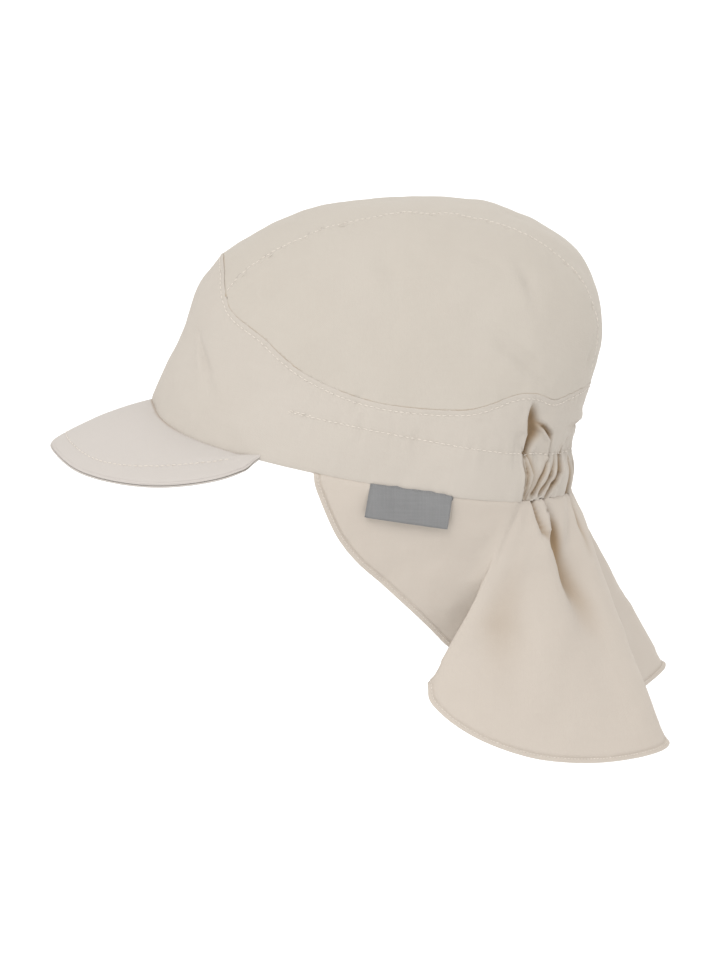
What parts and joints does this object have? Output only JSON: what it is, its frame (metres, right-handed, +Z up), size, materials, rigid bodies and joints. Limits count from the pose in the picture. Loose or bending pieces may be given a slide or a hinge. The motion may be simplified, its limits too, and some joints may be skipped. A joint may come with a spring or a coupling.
{
  "type": "child's legionnaire cap",
  "caption": "Soft cotton child's cap with a round crown, curved peak, elastic-gathered back band and long neck flap with a flared side lobe.",
  "frame": {"origin": "middle of the head opening, in the plane of the rim", "axes": "+Z up as worn, -X towards the peak, -Y towards the side with the label; the cap is tipped back 11.5 degrees about Y, as it is worn"},
  "size_m": [0.2724, 0.1518, 0.223],
  "materials": {
    "crown_cotton": "plain-weave sand cotton, matt",
    "band_cotton": "plain-weave sand cotton, matt, stitched",
    "peak_cotton": "plain-weave sand cotton over a firm layer, matt",
    "flap_cotton": "thin plain-weave sand cotton, matt, narrow stitched hem",
    "grey_label": "folded grey woven tape, plain"
  },
  "bodies": {
    "root": {"crown_top_strip": "crown_cotton", "crown_side_left": "crown_cotton", "crown_side_right": "crown_cotton", "front_band": "band_cotton", "peak_top": "peak_cotton", "peak_under": "peak_cotton", "neck_flap": "flap_cotton", "side_label": "grey_label"}
  },
  "joints": []
}
